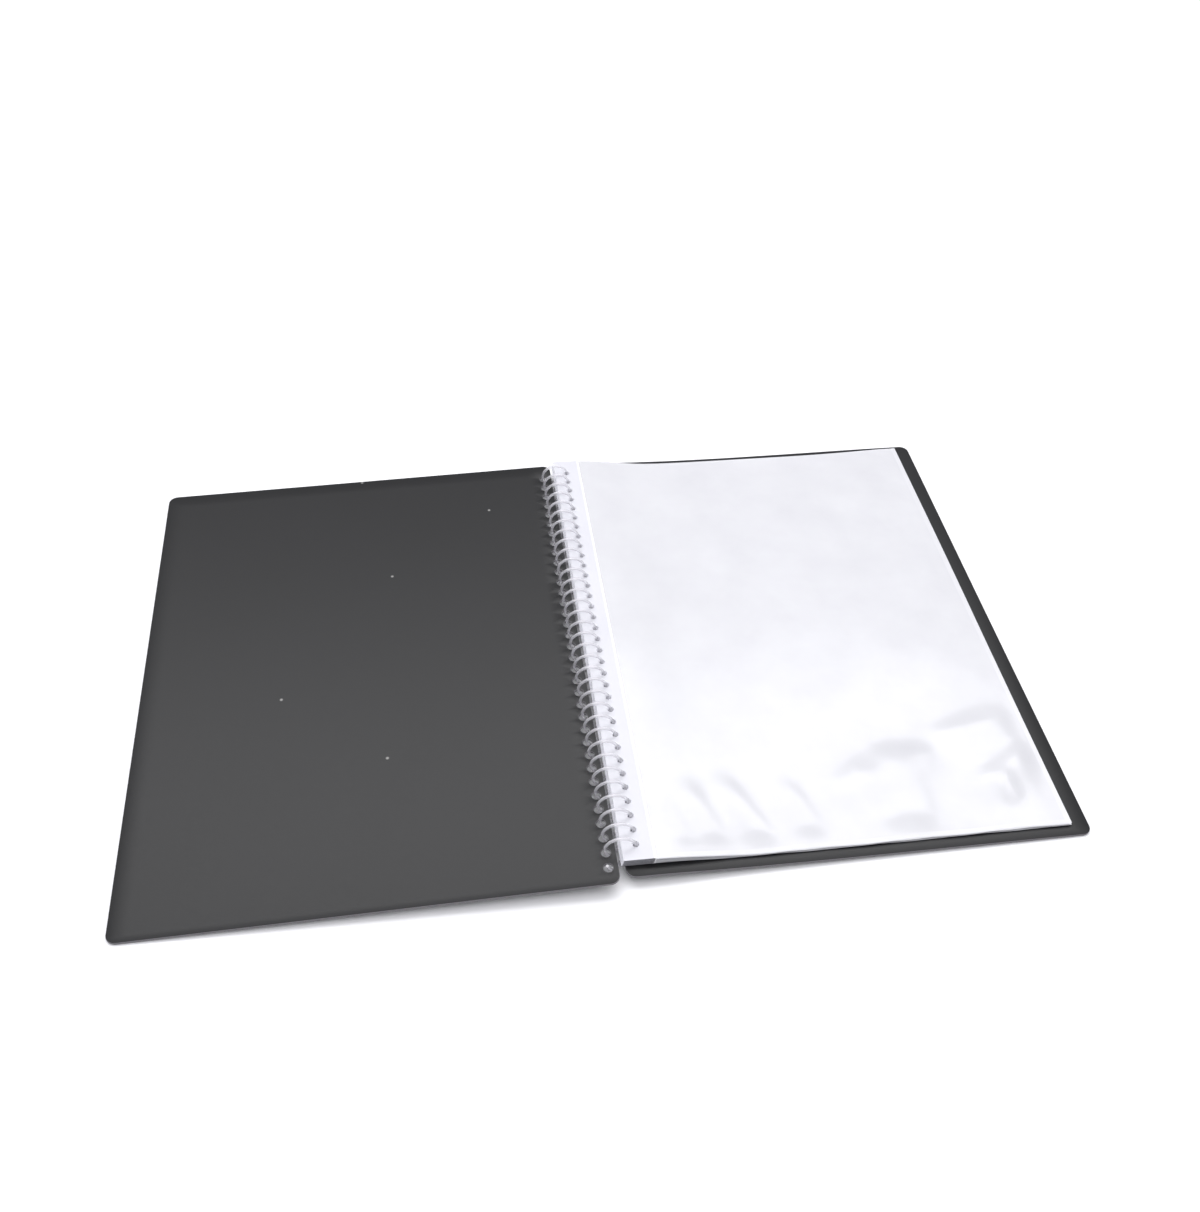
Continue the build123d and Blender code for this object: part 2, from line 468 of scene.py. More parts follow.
def tube_tree() -> bpy.types.NodeTree:
    """Makes the geometry nodes that lay an oval section along a line.

    Returns:
        The node tree with inputs for both radii, the sides and the finish.
    """
    tree = bpy.data.node_groups.new("section_along_line", "GeometryNodeTree")
    tree.interface.new_socket("Geometry", in_out="OUTPUT", socket_type="NodeSocketGeometry")
    for name, kind in (("Line", "Geometry"), ("Half width", "Float"), ("Half height", "Float"),
                       ("Sides", "Int"), ("Finish", "Material")):
        tree.interface.new_socket(name, in_out="INPUT", socket_type=f"NodeSocket{kind}")
    into = add_node(tree, "NodeGroupInput").outputs
    ring = add_node(tree, "GeometryNodeCurvePrimitiveCircle", {"Radius": 1.0}, {"Resolution": into["Sides"]},
                    mode="RADIUS")
    size = add_node(tree, "ShaderNodeCombineXYZ", {"Z": 1.0},
                    {"X": into["Half width"], "Y": into["Half height"]})
    oval = add_node(tree, "GeometryNodeTransform", {}, {"Geometry": ring.outputs["Curve"],
                                                        "Scale": size.outputs["Vector"]})
    swept = add_node(tree, "GeometryNodeCurveToMesh", {"Fill Caps": True},
                     {"Curve": into["Line"], "Profile Curve": oval.outputs["Geometry"]})
    soft = add_node(tree, "GeometryNodeSetShadeSmooth", {}, {"Geometry": swept.outputs["Mesh"]})
    real = add_node(tree, "GeometryNodeRealizeInstances", {}, {"Geometry": soft.outputs["Geometry"]})
    dressed = add_node(tree, "GeometryNodeSetMaterial", {}, {"Geometry": real.outputs["Geometry"],
                                                             "Material": into["Finish"]})
    add_node(tree, "NodeGroupOutput", {}, {"Geometry": dressed.outputs["Geometry"]})
    return tree


def tube(name: str, points: np.ndarray, half_width: float, half_height: float, sides: int,
         material: bpy.types.Material) -> bpy.types.Object:
    """Lays an oval section along points with geometry nodes and keeps the mesh.

    Args:
        name: Name of the piece.
        points: Points of the line, in metres.
        half_width: Half of the section across, in mm.
        half_height: Half of the section upwards, in mm.
        sides: Corners of the section.
        material: Finish of the piece.

    Returns:
        An object with a plain mesh.
    """
    tree = bpy.data.node_groups.get("section_along_line") or tube_tree()
    curve = bpy.data.curves.new(f"{name}_line", "CURVE")
    curve.dimensions = "3D"
    curve.twist_mode = "MINIMUM"
    spline = curve.splines.new("POLY")
    spline.points.add(len(points) - 1)
    spline.points.foreach_set("co", np.c_[points, np.ones(len(points))].ravel())
    line = new_object(f"{name}_line", curve)
    wind = line.modifiers.new("section", "NODES")
    wind.node_group = tree
    sockets = {s.name: s.identifier for s in tree.interface.items_tree if s.in_out == "INPUT"}
    for key, value in {"Half width": half_width * MM, "Half height": half_height * MM, "Sides": sides,
                       "Finish": material}.items():
        wind[sockets[key]] = value
    mesh = bpy.data.meshes.new_from_object(line.evaluated_get(bpy.context.evaluated_depsgraph_get()))
    line.modifiers.remove(wind)
    bpy.data.objects.remove(line)
    mesh.name = name
    return new_object(name, mesh)


# Covers and coil


def loop_y(k: float) -> float:
    """Place along the coil of loop k, in mm."""
    return (k - (LOOPS - 1) / 2) * HOLE_PITCH + LOOP_MIDDLE


@dataclass(frozen=True)
class TableSag:
    """Shape that the rear cover and its leaves take where they lie on the table.

    They hang through between the coil and the fore edge, more at the far end, and
    the far fore corner stands up a little.
    """

    start: float
    width: float
    near: float
    length: float
    dip: float = 2.0
    near_share: float = 0.6  # dip at the near end, of that at the far end
    set_in: float = 0.15  # share of the width over which the dip sets in
    lift: float = 0.6
    lift_start: float = 0.35  # share of the length at which the lift begins
    lift_power: float = 2.4

    def __call__(self, u: np.ndarray, y: np.ndarray) -> np.ndarray:
        """Height over the flat sheet.

        Args:
            u: Distances from the coil's axis, in mm.
            y: Places along the coil, in mm.

        Returns:
            The heights in mm.
        """
        peak = 4 / 27  # greatest value of s (1 - s) ** 2
        s = np.clip((u - self.start) / self.width, 0.0, 1.0)
        t = np.clip((y - self.near) / self.length, 0.0, 1.0)
        hollow = s * (1 - s) ** 2 / peak * smooth(s / self.set_in)
        corner = s ** self.lift_power * smooth((t - self.lift_start) / (1 - self.lift_start))
        return -self.dip * hollow * (self.near_share + (1 - self.near_share) * t) + self.lift * corner


def lie_flat(u: np.ndarray, y: np.ndarray) -> np.ndarray:
    """Heights of a sheet that stays flat."""
    return np.zeros(np.shape(u))


@dataclass
class Cover:
    """One punched cover sheet with rounded corners and softened cut edges."""

    node: str
    side: Side
    hole_ys: List[float]
    shape: Height
    corner: float = 5.0
    hole_radius: float = 2.4
    hole_edge: float = 5.0
    soften: float = 0.22
    grid: float = 8.0
    grid_start: float = 4.0  # margins of the grid at its two ends
    grid_stop: float = 3.0
    corner_steps: int = 10
    hole_steps: int = 28
    sharp: float = 40.0

    def outline(self, low: np.ndarray, high: np.ndarray, inset: float) -> np.ndarray:
        """Rounded outline of the sheet.

        Args:
            low: Least u and y.
            high: Greatest u and y.
            inset: Distance inside the outermost line.

        Returns:
            Points of the closed line.
        """
        radius = self.corner - inset
        right, left = high[0] - self.corner, low[0] + self.corner
        far, near = high[1] - self.corner, low[1] + self.corner
        points = []
        for quarter, (u, y) in enumerate(((right, far), (left, far), (left, near), (right, near))):
            for k in range(self.corner_steps + 1):
                turn = math.radians(90 * (quarter + k / self.corner_steps))
                points.append((u + radius * math.cos(turn), y + radius * math.sin(turn)))
        dense = []
        for a, b in zip(points, points[1:] + points[:1]):
            count = max(1, round(math.dist(a, b) / self.grid))
            dense.append(np.linspace(a, b, count, endpoint=False))
        return np.concatenate(dense)

    def hole(self, u: float, y: float, inset: float) -> np.ndarray:
        """Closed line round one hole.

        Args:
            u: Distance of its middle from the coil's axis.
            y: Its place along the coil.
            inset: Distance outside its rim.

        Returns:
            Points of the line.
        """
        turn = np.linspace(0, 2 * np.pi, self.hole_steps, endpoint=False)
        radius = self.hole_radius + inset
        return np.stack([u + radius * np.cos(turn), y + radius * np.sin(turn)], -1)

    def lines(self, low: np.ndarray, high: np.ndarray, inset: float) -> List[np.ndarray]:
        """Outline and holes at an inset from the cut."""
        u = low[0] + self.hole_edge
        return [self.outline(low, high, inset)] + [self.hole(u, y, inset) for y in self.hole_ys]

    def fill(self, lines: List[np.ndarray], low: np.ndarray,
             high: np.ndarray) -> Tuple[np.ndarray, np.ndarray]:
        """Triangles over the face, with an even grid between the lines.

        Args:
            lines: Outline first, then the holes.
            low: Least u and y.
            high: Greatest u and y.

        Returns:
            Points, which begin with those of the lines, and triangles.
        """
        past_holes = low[0] + self.corner + self.hole_edge
        us = np.arange(past_holes + self.grid_start, high[0] - self.grid_stop, self.grid)
        ys = np.arange(low[1] + self.grid_start, high[1] - self.grid_stop, self.grid)
        inner = np.stack(np.meshgrid(us, ys), -1).reshape(-1, 2)
        edges, start = [], 0
        for line in lines:
            count = len(line)
            edges += [(start + k, start + (k + 1) % count) for k in range(count)]
            start += count
        points = np.concatenate(lines + [inner])
        made = delaunay_2d_cdt([Vector(p) for p in points], edges, [], 1, SAME_POINT)
        came_from = np.array([ids[0] for ids in made[3]])
        tris = came_from[np.array(made[2])]
        owner = np.repeat(np.arange(len(lines) + 1), [len(line) for line in lines + [inner]])
        owner[owner == len(lines)] = 0
        owners = owner[tris]
        in_hole = (owners[:, 0] > 0) & (owners == owners[:, :1]).all(1)
        return points, tris[~in_hole]

    def build(self, axis: Pair, material: bpy.types.Material) -> bpy.types.Object:
        """Makes the cover and puts it on its body.

        Args:
            axis: x and z of the coil's axis, in mm.
            material: Finish of the sheet.

        Returns:
            The finished piece.
        """
        flat = SheetFrame.of_node(self.node, self.side, axis)
        low, high = flat.extent(self.node)
        top = self.lines(low, high, self.soften)
        verts, tris = self.fill(top, low, high)
        rings = []
        for turn in (math.radians(45), math.radians(90)):
            inset, drop = self.soften * (1 - math.sin(turn)), self.soften * (1 - math.cos(turn))
            rings.append((np.concatenate(self.lines(low, high, inset)), drop))
        layers = [(verts, high[2])] + [(ring, high[2] - drop) for ring, drop in rings]
        layers += [(ring, low[2] + drop) for ring, drop in reversed(rings)] + [(verts, low[2])]
        points = [flat.place(p[:, 0], p[:, 1], n + self.shape(p[:, 0], p[:, 1])) for p, n in layers]
        starts = np.cumsum([0] + [len(p) for p in points])
        faces = tris.tolist() + (tris[:, ::-1] + starts[-2]).tolist()
        # faces of the cut rims, which get the painted highlight
        cut = [0.0] * len(faces)
        begin = 0
        for line in top:
            size = len(line)
            for k in range(size):
                a, b = begin + k, begin + (k + 1) % size
                faces += [(up + a, down + a, down + b, up + b) for up, down in zip(starts[:-2], starts[1:-1])]
            begin += size
        cut += [1.0] * (len(faces) - len(cut))
        obj = finish_mesh(f"{self.node}_sheet", np.concatenate(points), faces, material, self.sharp,
                          {"cut_edge_highlight": np.array(cut)})
        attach(obj, self.node)
        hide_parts(self.node)
        return obj


@dataclass
class Coil:
    """Clear coil: loops square to its axis, stepping one pitch under the covers."""

    rear_low: float
    front_low: float
    radius: float = 7.7
    wire: float = 1.6
    step_margin: float = 9.5
    tail_drop: float = 3.1
    tail_steps: int = 5
    loop_steps: int = 44
    step_steps: int = 9
    sides: int = 14

    @property
    def right(self) -> float:
        """Angle in radians at which a loop comes up under the rear cover."""
        return -math.asin(self.rear_low / self.radius) - math.radians(self.step_margin)

    @property
    def left(self) -> float:
        """Angle in radians at which a loop goes down under the front cover."""
        return math.pi + math.asin(self.front_low / self.radius) + math.radians(self.step_margin)

    def on(self, turn: np.ndarray, y: float) -> np.ndarray:
        """Points on the coil's circle, from the axis, in mm."""
        turn = np.atleast_1d(turn)
        return np.stack([self.radius * np.cos(turn), np.full(turn.shape, y), self.radius * np.sin(turn)], -1)

    def along(self, turn: float) -> np.ndarray:
        """Direction of the wire at an angle."""
        return np.array([-math.sin(turn), 0.0, math.cos(turn)])

    def arc(self, start: np.ndarray, leave: np.ndarray, end: np.ndarray) -> np.ndarray:
        """Arc that leaves one point in a direction and reaches another.

        Args:
            start: First point.
            leave: Unit direction at the first point.
            end: Last point.

        Returns:
            Points of the arc.
        """
        span = end - start
        ahead = span @ leave
        aside = span - leave * ahead
        half = math.atan2(np.linalg.norm(aside), ahead)
        radius = np.linalg.norm(span) / (2 * math.sin(half))
        aside = aside / np.linalg.norm(aside)
        turn = np.linspace(0, 2 * half, self.step_steps + 1)[:, None]
        return start + radius * (np.sin(turn) * leave + (1 - np.cos(turn)) * aside)

    def step(self, y: float) -> List[np.ndarray]:
        """Two tangent arcs under the covers, from one loop's plane to the next.

        Args:
            y: Place of the first loop along the coil.

        Returns:
            Points of each arc.
        """
        start, end = self.on(self.left, y)[0], self.on(self.right, y + HOLE_PITCH)[0]
        leave, enter = self.along(self.left), self.along(self.right)
        span, both = end - start, leave + enter
        bend = 2 * (1 - leave @ enter)
        reach = (math.sqrt((span @ both) ** 2 + bend * (span @ span)) - span @ both) / bend
        middle = (start + leave * reach + end - enter * reach) / 2
        return [self.arc(start, leave, middle), self.arc(end, -enter, middle)[::-1]]

    def path(self) -> np.ndarray:
        """Follows the wire from its near tail to its far tail.

        Returns:
            Points of its middle line, from the axis, in mm.
        """
        tail = math.pi + math.asin(self.tail_drop / self.radius)
        y = loop_y(-1)
        runs = [self.on(tail, y) - self.along(tail) * self.wire,
                self.on(np.linspace(tail, self.left, self.tail_steps), y)] + self.step(y)
        for k in range(LOOPS):
            runs.append(self.on(np.linspace(self.right, self.left, self.loop_steps), loop_y(k)))
            if k < LOOPS - 1:
                runs += self.step(loop_y(k))
        last = self.step(loop_y(LOOPS - 1))[0]
        ahead = last[-1] - last[-2]
        runs += [last, last[-1:] + ahead / np.linalg.norm(ahead) * self.wire]
        points = np.concatenate(runs)
        fresh = np.r_[True, np.linalg.norm(np.diff(points, axis=0), axis=1) > SAME_POINT]
        return points[fresh]

    def build(self, axis: Pair, material: bpy.types.Material) -> bpy.types.Object:
        """Makes the coil and puts it on the rear cover.

        Args:
            axis: x and z of the coil's axis, in mm.
            material: Finish of the filament.

        Returns:
            The finished piece.
        """
        points = (self.path() + np.array([axis[0], 0.0, axis[1]])) * MM
        obj = tube("spiral_coil_wire", points, self.wire / 2, self.wire / 2, self.sides, material)
        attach(obj, "rear_cover")
        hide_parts("spiral_coil")
        return obj


# Pockets


@dataclass(frozen=True)
class Ridge:
    """One wrinkle in the films: a soft ridge along a line, steep on the left as the line runs."""

    start: Pair
    end: Pair
    height: float
    gentle: float
    steep: float
    overrun: float = 0.25  # this and the next two are shares of the line's length
    fade_in: float = 0.6
    fade_out: float = 0.5

    def __call__(self, u: np.ndarray, y: np.ndarray) -> np.ndarray:
        """Height of the wrinkle at places on the leaf.

        Args:
            u: Distances from the coil's axis, in mm.
            y: Places along the coil, in mm.

        Returns:
            The heights in mm.
        """
        a, b = np.array(self.start), np.array(self.end)
        length = np.linalg.norm(b - a)
        ahead = (b - a) / length
        along = ((u - a[0]) * ahead[0] + (y - a[1]) * ahead[1]) / length
        across = (u - a[0]) * -ahead[1] + (y - a[1]) * ahead[0]
        wide = np.where(across > 0, self.steep, self.gentle)
        begin = smooth((along + self.overrun) / self.fade_in)
        finish = smooth((1 + self.overrun - along) / self.fade_out)
        return self.height * np.exp(-(across / wide) ** 2) * begin * finish


@dataclass(frozen=True)
class Swell:
    """A shallow wave across the films. Its lengths are those of one radian, in mm."""

    u_length: float
    y_length: float
    phase: float

    def __call__(self, u: np.ndarray, y: np.ndarray) -> np.ndarray:
        """Height between -1 and 1 at places on the leaf."""
        return np.sin(u / self.u_length + y / self.y_length + self.phase)


@dataclass(frozen=True)
class Wrinkles:
    """Waves and wrinkles that the films share, strongest in the top leaf."""

    root: float
    fore: float
    near: float
    far: float
    ridges: Tuple[Ridge, ...] = (
        Ridge((22, -112), (34, -140), 1.7, 10.0, 5.5),
        Ridge((39, -105), (51, -139), 1.4, 10.0, 5.5),
        Ridge((58, -103), (76, -141), 1.5, 10.0, 5.5),
        Ridge((91, -109), (102, -140), 1.3, 10.0, 5.5),
        Ridge((112, -118), (138, -104), 1.1, 14.0, 9.0),
        Ridge((141, -97), (174, -99), 1.5, 14.0, 8.0),
        Ridge((151, -98), (156, -140), 2.2, 20.0, 12.0),
        Ridge((179, -87), (221, -77), 1.4, 14.0, 6.5),
        Ridge((188, -123), (228, -99), 1.4, 13.0, 6.5),
        Ridge((207, -112), (208, -131), 0.8, 6.0, 4.0),
        Ridge((140, -142), (222, -142), 0.35, 3.0, 3.0),
    )
    swells: Tuple[Swell, Swell] = (Swell(23, 61, 0.6), Swell(37, -29, 2.0))
    broad: float = 0.5
    mouth: float = 0.25
    mouth_reach: float = 22.0
    mouth_swell: Swell = Swell(19, math.inf, 1.2)
    root_hold: float = 26.0  # distances over which the welds hold the films flat
    fore_hold: float = 14.0
    near_hold: float = 13.0
    near_least: float = 0.2

    def __call__(self, u: np.ndarray, y: np.ndarray) -> np.ndarray:
        """Height over the lying stack, never negative.

        Args:
            u: Distances from the coil's axis, in mm.
            y: Places along the coil, in mm.

        Returns:
            The heights in mm.
        """
        high = sum(ridge(u, y) for ridge in self.ridges)
        wave = 0.5 + 0.25 * sum(swell(u, y) for swell in self.swells)
        open_end = self.mouth * np.exp((y - self.far) / self.mouth_reach)
        open_end = open_end * (0.5 + 0.5 * self.mouth_swell(u, y))
        hold = smooth((u - self.root) / self.root_hold) * smooth((self.fore - u) / self.fore_hold)
        hold = hold * (self.near_least + (1 - self.near_least) * smooth((y - self.near) / self.near_hold))
        return (high + self.broad * wave + open_end) * hold


@dataclass(frozen=True)
class EdgeWave:
    """Waviness of a film's edge: its size, length of a radian and share of the leaf that it takes."""

    size: float
    length: float
    share: float

    def __call__(self, run: np.ndarray, inward: np.ndarray, phase: float) -> np.ndarray:
        """Shift in mm at a run along the edge, and at a share of the leaf inward from it."""
        return self.size * smooth((self.share - inward) / self.share) * np.sin(run / self.length + phase)


@dataclass
class Pocket:
    """One clear pocket: two films, welded at three sides and open at the far end."""

    number: int
    cover_top: float
    pitch_rim: float = 0.09
    pitch_middle: float = 0.14
    film: float = 0.04
    room: float = 0.016
    seam: float = 2.5
    root_seam: float = 1.5
    lie: float = 0.06  # lowest pocket's middle over the cover
    settle: float = 52.0  # distance over which the leaves come together
    rim_reach: float = 40.0
    mouth_reach: float = 50.0
    open_reach: float = 5.0  # distance from a seam at which the films are apart
    fade: float = 5.0  # films over which the wrinkles fade
    slip: float = 0.5
    fore_wave: Pair = (0.25, 43.0)
    far_wave: EdgeWave = EdgeWave(0.5, 31.0, 0.1)
    near_wave: EdgeWave = EdgeWave(0.3, 8.5, 0.06)
    hollow_mouth: float = 2.2  # middle of the far edge behind its corners
    hollow_share: float = 0.4
    sharp: float = 60.0

    @property
    def name(self) -> str:
        """Name that the leaf's nodes and body begin with."""
        return f"pocket_{self.number:02d}"

    def lines(self, low: float, high: float, first: float, last: float) -> np.ndarray:
        """Grid lines across the films.

        Args:
            low: Lower end.
            high: Upper end.
            first: Seam at the lower end.
            last: Seam at the upper end.

        Returns:
            Places of the lines, both ends and both seams among them.
        """
        grid = FINE_GRIDS.get(self.number, PLAIN_GRID)
        count = max(2, round((high - last - low - first) / grid))
        return np.unique(np.r_[low, np.linspace(low + first, high - last, count + 1), high])

    def slips(self, u: np.ndarray, y: np.ndarray, across: np.ndarray, end: np.ndarray, ease: np.ndarray,
              draw: np.random.Generator) -> Tuple[np.ndarray, np.ndarray]:
        """Small shifts in the plane, because no leaf lies quite true.

        Args:
            u: Distances from the coil's axis, in mm.
            y: Places along the coil, in mm.
            across: Shares of the width.
            end: Shares of the length.
            ease: Zero at the coil and one where the leaf lies free.
            draw: Source of the small differences between leaves.

        Returns:
            Shifts away from the coil and along it, in mm.
        """
        fore, near, far = draw.uniform(-self.slip, self.slip, 3)
        far_phase, near_phase = draw.uniform(0, FULL_TURN, 2)
        size, length = self.fore_wave
        slip_u = (fore + size * np.sin(y / length + near_phase)) * smooth(across)
        slip_y = near * (1 - end) + far * end
        slip_y += (self.far_wave(u, 1 - end, far_phase) + self.near_wave(u, end, near_phase)) * ease
        hollow = smooth((end - 1 + self.hollow_share) / self.hollow_share) * np.sin(np.pi * across)
        return slip_u, slip_y - self.hollow_mouth * hollow

    def build(self, flat: SheetFrame, sag: Height, wrinkles: Height, material: bpy.types.Material,
              draw: np.random.Generator) -> bpy.types.Object:
        """Makes the pocket and puts it on its leaf.

        Args:
            flat: Frame of the lying leaves.
            sag: Shape of the cover under them.
            wrinkles: Waves in the films.
            material: Finish of the films.
            draw: Source of the small differences between leaves.

        Returns:
            The finished piece.
        """
        low, high = flat.extent(f"{self.name}_films")
        us = self.lines(low[0], high[0], self.root_seam, self.seam)
        ys = self.lines(low[1], high[1], self.seam, 0.0)
        u, y = np.meshgrid(us, ys, indexing="ij")
        across, end = (u - low[0]) / (high[0] - low[0]), (y - low[1]) / (high[1] - low[1])
        ease = smooth((u - low[0]) / self.settle)
        rim = np.minimum(np.minimum(high[0] - u, y - low[1]), self.rim_reach)
        inner = smooth(rim / self.rim_reach) * smooth((high[1] - y) / self.mouth_reach)
        pitch = self.pitch_rim + (self.pitch_middle - self.pitch_rim) * inner
        at_root = (low[2] + high[2]) / 2
        settled = self.cover_top + self.lie + pitch * (LEAVES - self.number)
        middle = at_root + (settled - at_root) * ease + sag(u, y)
        out = self.film + self.room / 2 * smooth(rim / self.open_reach)
        depth = 2 * (self.number - 1)
        wave = wrinkles(u, y)
        outside = [middle + out + wave * math.exp(-depth / self.fade),
                   middle - out + wave * math.exp(-(depth + 1) / self.fade)]
        slip_u, slip_y = self.slips(u, y, across, end, ease, draw)
        sheets = [flat.place(u + slip_u, y + slip_y, n)
                  for n in outside + [outside[0] - self.film, outside[1] + self.film]]
        points, faces, weld = self.bag(sheets)
        obj = finish_mesh(f"{self.name}_pouch", points, faces, material, self.sharp, {"weld": weld})
        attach(obj, self.name)
        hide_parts(f"{self.name}_films")
        return obj

    def bag(self, sheets: List[np.ndarray]) -> Tuple[np.ndarray, List[List[int]], np.ndarray]:
        """Joins the four surfaces of the films to one closed wall.

        Args:
            sheets: Upper outside, lower outside, upper inside and lower inside.

        Returns:
            Points, faces and, for each face, whether it is welded.
        """
        rows, cols = sheets[0].shape[:2]
        count = rows * cols
        top, under, upper, lower = np.arange(4 * count).reshape(4, rows, cols)
        first, last, near, mouth = 1, rows - 2, 1, cols - 1
        joined = np.zeros((rows, cols), bool)
        joined[[first, last], near:] = True
        joined[first:last + 1, near] = True
        sheets[2] = np.where(joined[..., None], (sheets[2] + sheets[3]) / 2, sheets[2])
        lower = np.where(joined, upper, lower)
        inside = np.s_[first:last + 1, near:]
        seams = np.ones((rows - 1, cols - 1))
        seams[first:last, near:] = 0.0
        outer = [quads(top), quads(under)[:, ::-1]]
        inner = [quads(upper[inside])[:, ::-1], quads(lower[inside])]
        ring = [(0, k) for k in range(mouth, 0, -1)] + [(i, 0) for i in range(rows)]
        ring += [(rows - 1, k) for k in range(1, cols)]
        rim = [(top[a], under[a], under[b], top[b]) for a, b in zip(ring, ring[1:])]
        top, under, upper, lower = (grid[:, mouth] for grid in (top, under, upper, lower))
        corners = [(top[0], top[first], upper[first], under[first], under[0]),
                   (top[last], top[-1], under[-1], under[last], upper[last])]
        lips = [(a[i], a[i + 1], b[i + 1], b[i]) for i in range(first, last)
                for a, b in ((top, upper), (lower, under))]
        faces = np.concatenate(outer + inner).tolist() + rim + corners + lips
        weld = np.concatenate([seams.ravel(), seams.ravel(), np.zeros(sum(len(wall) for wall in inner)),
                               np.ones(len(rim) + len(corners)), np.zeros(len(lips))])
        used = np.unique(np.concatenate(faces))
        number = np.full(4 * count, -1)
        number[used] = np.arange(len(used))
        points = np.concatenate([sheet.reshape(-1, 3) for sheet in sheets])[used]
        return points, [number[list(face)].tolist() for face in faces], weld


@dataclass
class Weld:
    """Bright heat weld between a binding strip and its pocket."""

    number: int
    half_width: float = 0.75
    half_height: float = 0.11
    sides: int = 8
    step: float = 6.0

    def build(self, flat: SheetFrame, material: bpy.types.Material) -> bpy.types.Object:
        """Makes the weld and puts it on its leaf.

        Args:
            flat: Frame of the lying leaves.
            material: Finish of the weld.

        Returns:
            The finished piece.
        """
        name = f"pocket_{self.number:02d}"
        low, high = flat.extent(f"{name}_strip")
        ys = np.linspace(low[1], high[1], round((high[1] - low[1]) / self.step))
        middle = (low[2] + high[2]) / 2
        points = flat.place(np.full(ys.shape, high[0]), ys, np.full(ys.shape, middle))
        obj = tube(f"{name}_weld", points, self.half_width, self.half_height, self.sides, material)
        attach(obj, name)
        return obj


# Studio


@dataclass
class Studio:
    """Pale floor, soft light and the camera at the photograph's angle."""

    position: Tuple[float, float, float] = (-0.073234, -0.460794, 0.525495)
    azimuth: float = 10.12
    elevation: float = 46.36
    roll: float = 2.908
    lens_px: float = 1234.2
    width_px: float = 1200.0
    sensor: float = 36.0
    clip: float = 0.01
    air: str = "#fbfbff"
    horizon: float = 0.42
    overhead: float = 1.55
    backdrop: float = 0.8
    rise: Pair = (0.5, 0.92)
    key_watts: float = 13.0
    key_place: Tuple[float, float, float] = (0.05, 0.64, 1.2)
    key_size: Pair = (2.2, 0.6)
    floor_half: float = 30.0
    floor_tones: Tuple[str, str] = ("#f4f4f5", "#f7f7f8")
    floor_grain_mm: float = 30.0
    floor_roughness: float = 0.7

    def build(self) -> None:
        """Makes the floor, the lights and the camera."""
        bpy.context.scene.view_settings.view_transform = "Standard"
        self.floor()
        self.sky()
        light = bpy.data.lights.new("key", "AREA")
        light.energy = self.key_watts
        light.shape = "RECTANGLE"
        light.size, light.size_y = self.key_size
        key = new_object("key", light)
        key.location = self.key_place
        key.rotation_euler = (-Vector(self.key_place)).to_track_quat("-Z", "Y").to_euler()
        self.camera()

    def sky(self) -> None:
        """Makes the light all round: a bright ceiling over dimmer walls, before a pale backdrop."""
        world = bpy.data.worlds.new("studio")
        world.use_nodes = True
        tree = world.node_tree
        way = add_node(tree, "ShaderNodeTexCoord").outputs["Generated"]
        height = add_node(tree, "ShaderNodeSeparateXYZ", {}, {"Vector": way}).outputs["Z"]
        low, high = self.rise
        light = add_node(tree, "ShaderNodeMapRange", {"From Min": low, "From Max": high,
                                                      "To Min": self.horizon, "To Max": self.overhead},
                         {"Value": height}, interpolation_type="SMOOTHSTEP")
        seen = add_node(tree, "ShaderNodeLightPath").outputs["Is Camera Ray"]
        strength = add_node(tree, "ShaderNodeMix", {3: self.backdrop}, {0: seen, 2: light.outputs["Result"]})
        ground = tree.nodes["Background"]
        ground.inputs["Color"].default_value = linear(self.air)
        tree.links.new(strength.outputs[0], ground.inputs["Strength"])
        bpy.context.scene.world = world

    def floor(self) -> None:
        """Makes the pale floor."""
        mat, tree, shader = new_material("white_table_top")
        place = add_node(tree, "ShaderNodeTexCoord").outputs["Object"]
        grain = add_node(tree, "ShaderNodeTexNoise", {"Scale": per_metre(self.floor_grain_mm)},
                         {"Vector": place})
        dark, pale = (linear(tone) for tone in self.floor_tones)
        tone = add_node(tree, "ShaderNodeMix", {6: dark, 7: pale}, {0: grain.outputs["Fac"]},
                        data_type="RGBA")
        tree.links.new(tone.outputs[2], shader.inputs["Base Color"])
        shader.inputs["Roughness"].default_value = self.floor_roughness
        half = self.floor_half
        mesh = bpy.data.meshes.new("floor")
        mesh.from_pydata([(-half, -half, 0), (half, -half, 0), (half, half, 0), (-half, half, 0)], [],
                         [(0, 1, 2, 3)])
        mesh.materials.append(mat)
        floor = new_object("floor", mesh)

    def camera(self) -> None:
        """Makes the camera."""
        az, el, roll = (math.radians(a) for a in (self.azimuth, self.elevation, self.roll))
        ahead = Vector((math.sin(az) * math.cos(el), math.cos(az) * math.cos(el), -math.sin(el)))
        right = Vector((math.cos(az), -math.sin(az), 0))
        up = right.cross(ahead)
        side = right * math.cos(roll) + up * math.sin(roll)
        top = up * math.cos(roll) - right * math.sin(roll)
        data = bpy.data.cameras.new("photo_angle")
        data.sensor_fit = "HORIZONTAL"
        data.sensor_width = self.sensor
        data.lens = self.sensor * self.lens_px / self.width_px
        data.clip_start = self.clip
        cam = new_object("photo_angle", data)
        turn = Matrix((side, top, -ahead)).transposed().to_4x4()
        cam.matrix_world = Matrix.Translation(self.position) @ turn
        bpy.context.scene.camera = cam


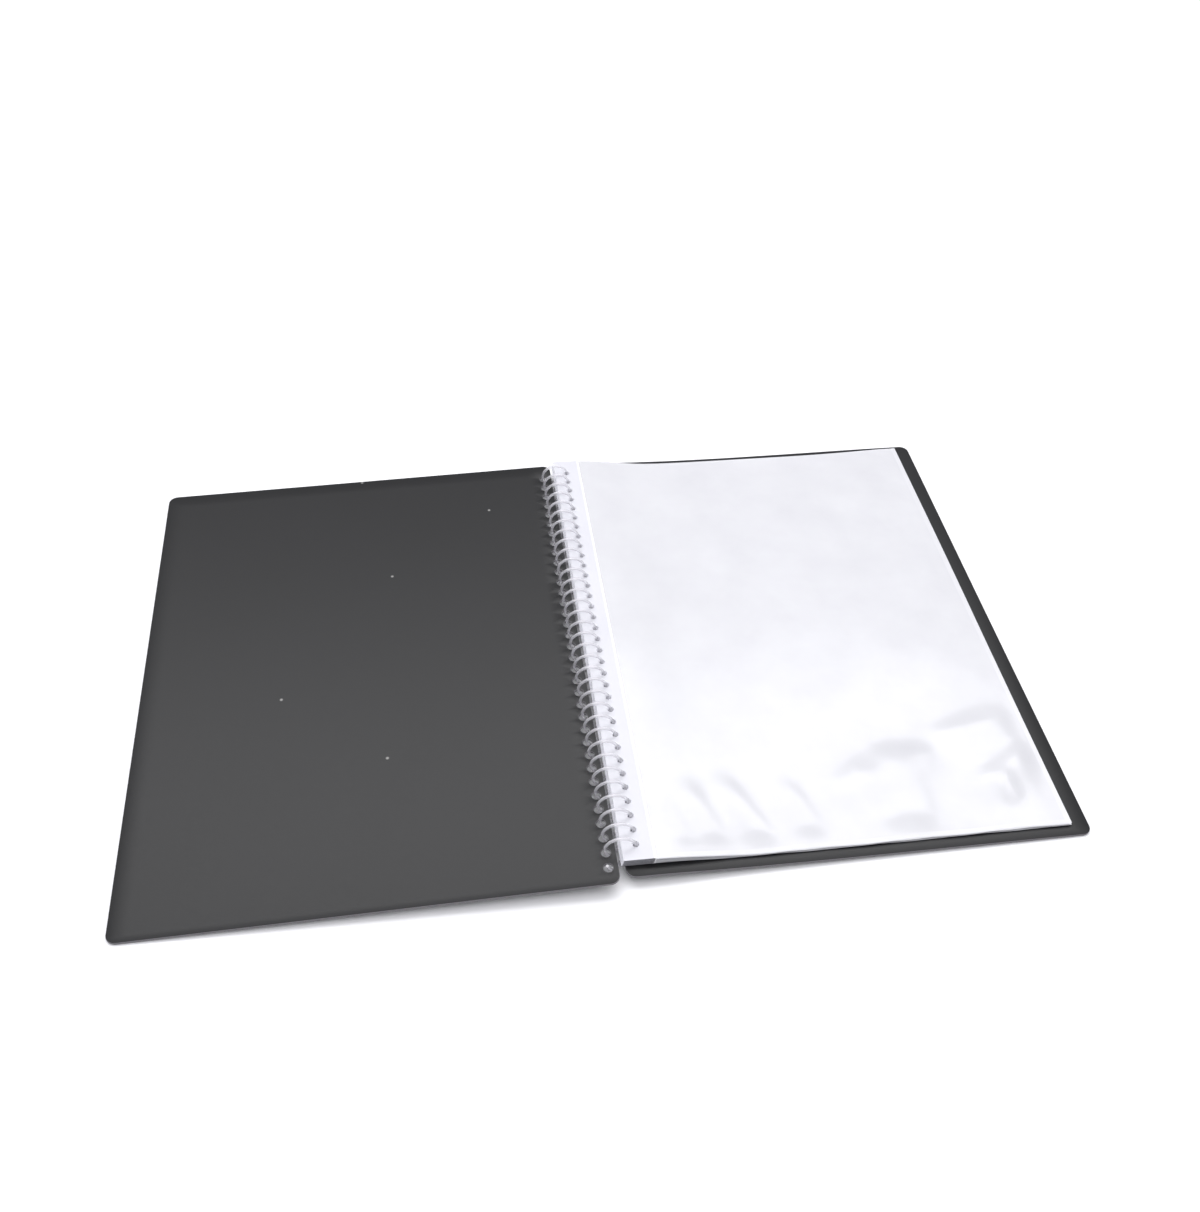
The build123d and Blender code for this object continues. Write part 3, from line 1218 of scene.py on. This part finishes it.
def main() -> None:
    """Builds and dresses the whole book."""
    logging.basicConfig(level=logging.INFO)
    hinge = frame["joints"][0]["pos_m"]
    axis = (hinge[0] / MM, hinge[2] / MM)
    sheet_finish = SheetPlastic().build()
    film_finish = MilkyPlastic("clear_polypropylene_film", "#fbfbfe", "#f8f8fc", 0.36, 0.22,
                               gloss=0.8, coat=0.4).build()
    # the strip's finish paints a glow on its cuts and holes and shade on its ends
    strip_finish = MilkyPlastic("milky_polypropylene_strip", "#dbdbe1", "#d8d8df", 0.9, 0.35,
                                weld_alpha=0.9, edge_glow=0.6).build()
    weld_finish = MilkyPlastic("heat_welded_polypropylene", "#ffffff", "#fbfbff", 0.93, 0.3).build()

    leaf = SheetFrame.of_node("pocket_01_strip", Side.RIGHT, axis)
    rear_least, rear_most = SheetFrame.of_node("rear_cover", Side.RIGHT, axis).extent("rear_cover")
    front_least, _ = SheetFrame.of_node("front_cover", Side.LEFT, axis).extent("front_cover")
    film_least, film_most = leaf.extent("pocket_01_films")
    sag = TableSag(start=film_least[0], width=rear_most[0] - film_least[0], near=rear_least[1],
                   length=rear_most[1] - rear_least[1])
    wrinkles = Wrinkles(root=film_least[0], fore=film_most[0], near=film_least[1], far=film_most[1])

    right_holes = [loop_y(k) + SIDE_PLAY for k in range(LOOPS)]
    left_holes = [loop_y(k) - SIDE_PLAY for k in range(-1, LOOPS)]
    for cover in (Cover("rear_cover", Side.RIGHT, right_holes, sag),
                  Cover("front_cover", Side.LEFT, left_holes, lie_flat)):
        log.info("made %s", cover.build(axis, sheet_finish).name)
    coil = Coil(rear_low=-rear_least[2], front_low=-front_least[2])
    log.info("made %s", coil.build(axis, ClearPlastic().build()).name)

    draw = np.random.default_rng(SEED)
    for number in range(1, LEAVES + 1):
        strip = frame["nodes"][f"pocket_{number:02d}_strip"]
        strip.data.materials.clear()
        strip.data.materials.append(strip_finish)
        pouch = Pocket(number, cover_top=rear_most[2]).build(leaf, sag, wrinkles, film_finish, draw)
        log.info("made %s and %s", pouch.name, Weld(number).build(leaf, weld_finish).name)

    Studio().build()


if __name__ == "__main__":
    main()
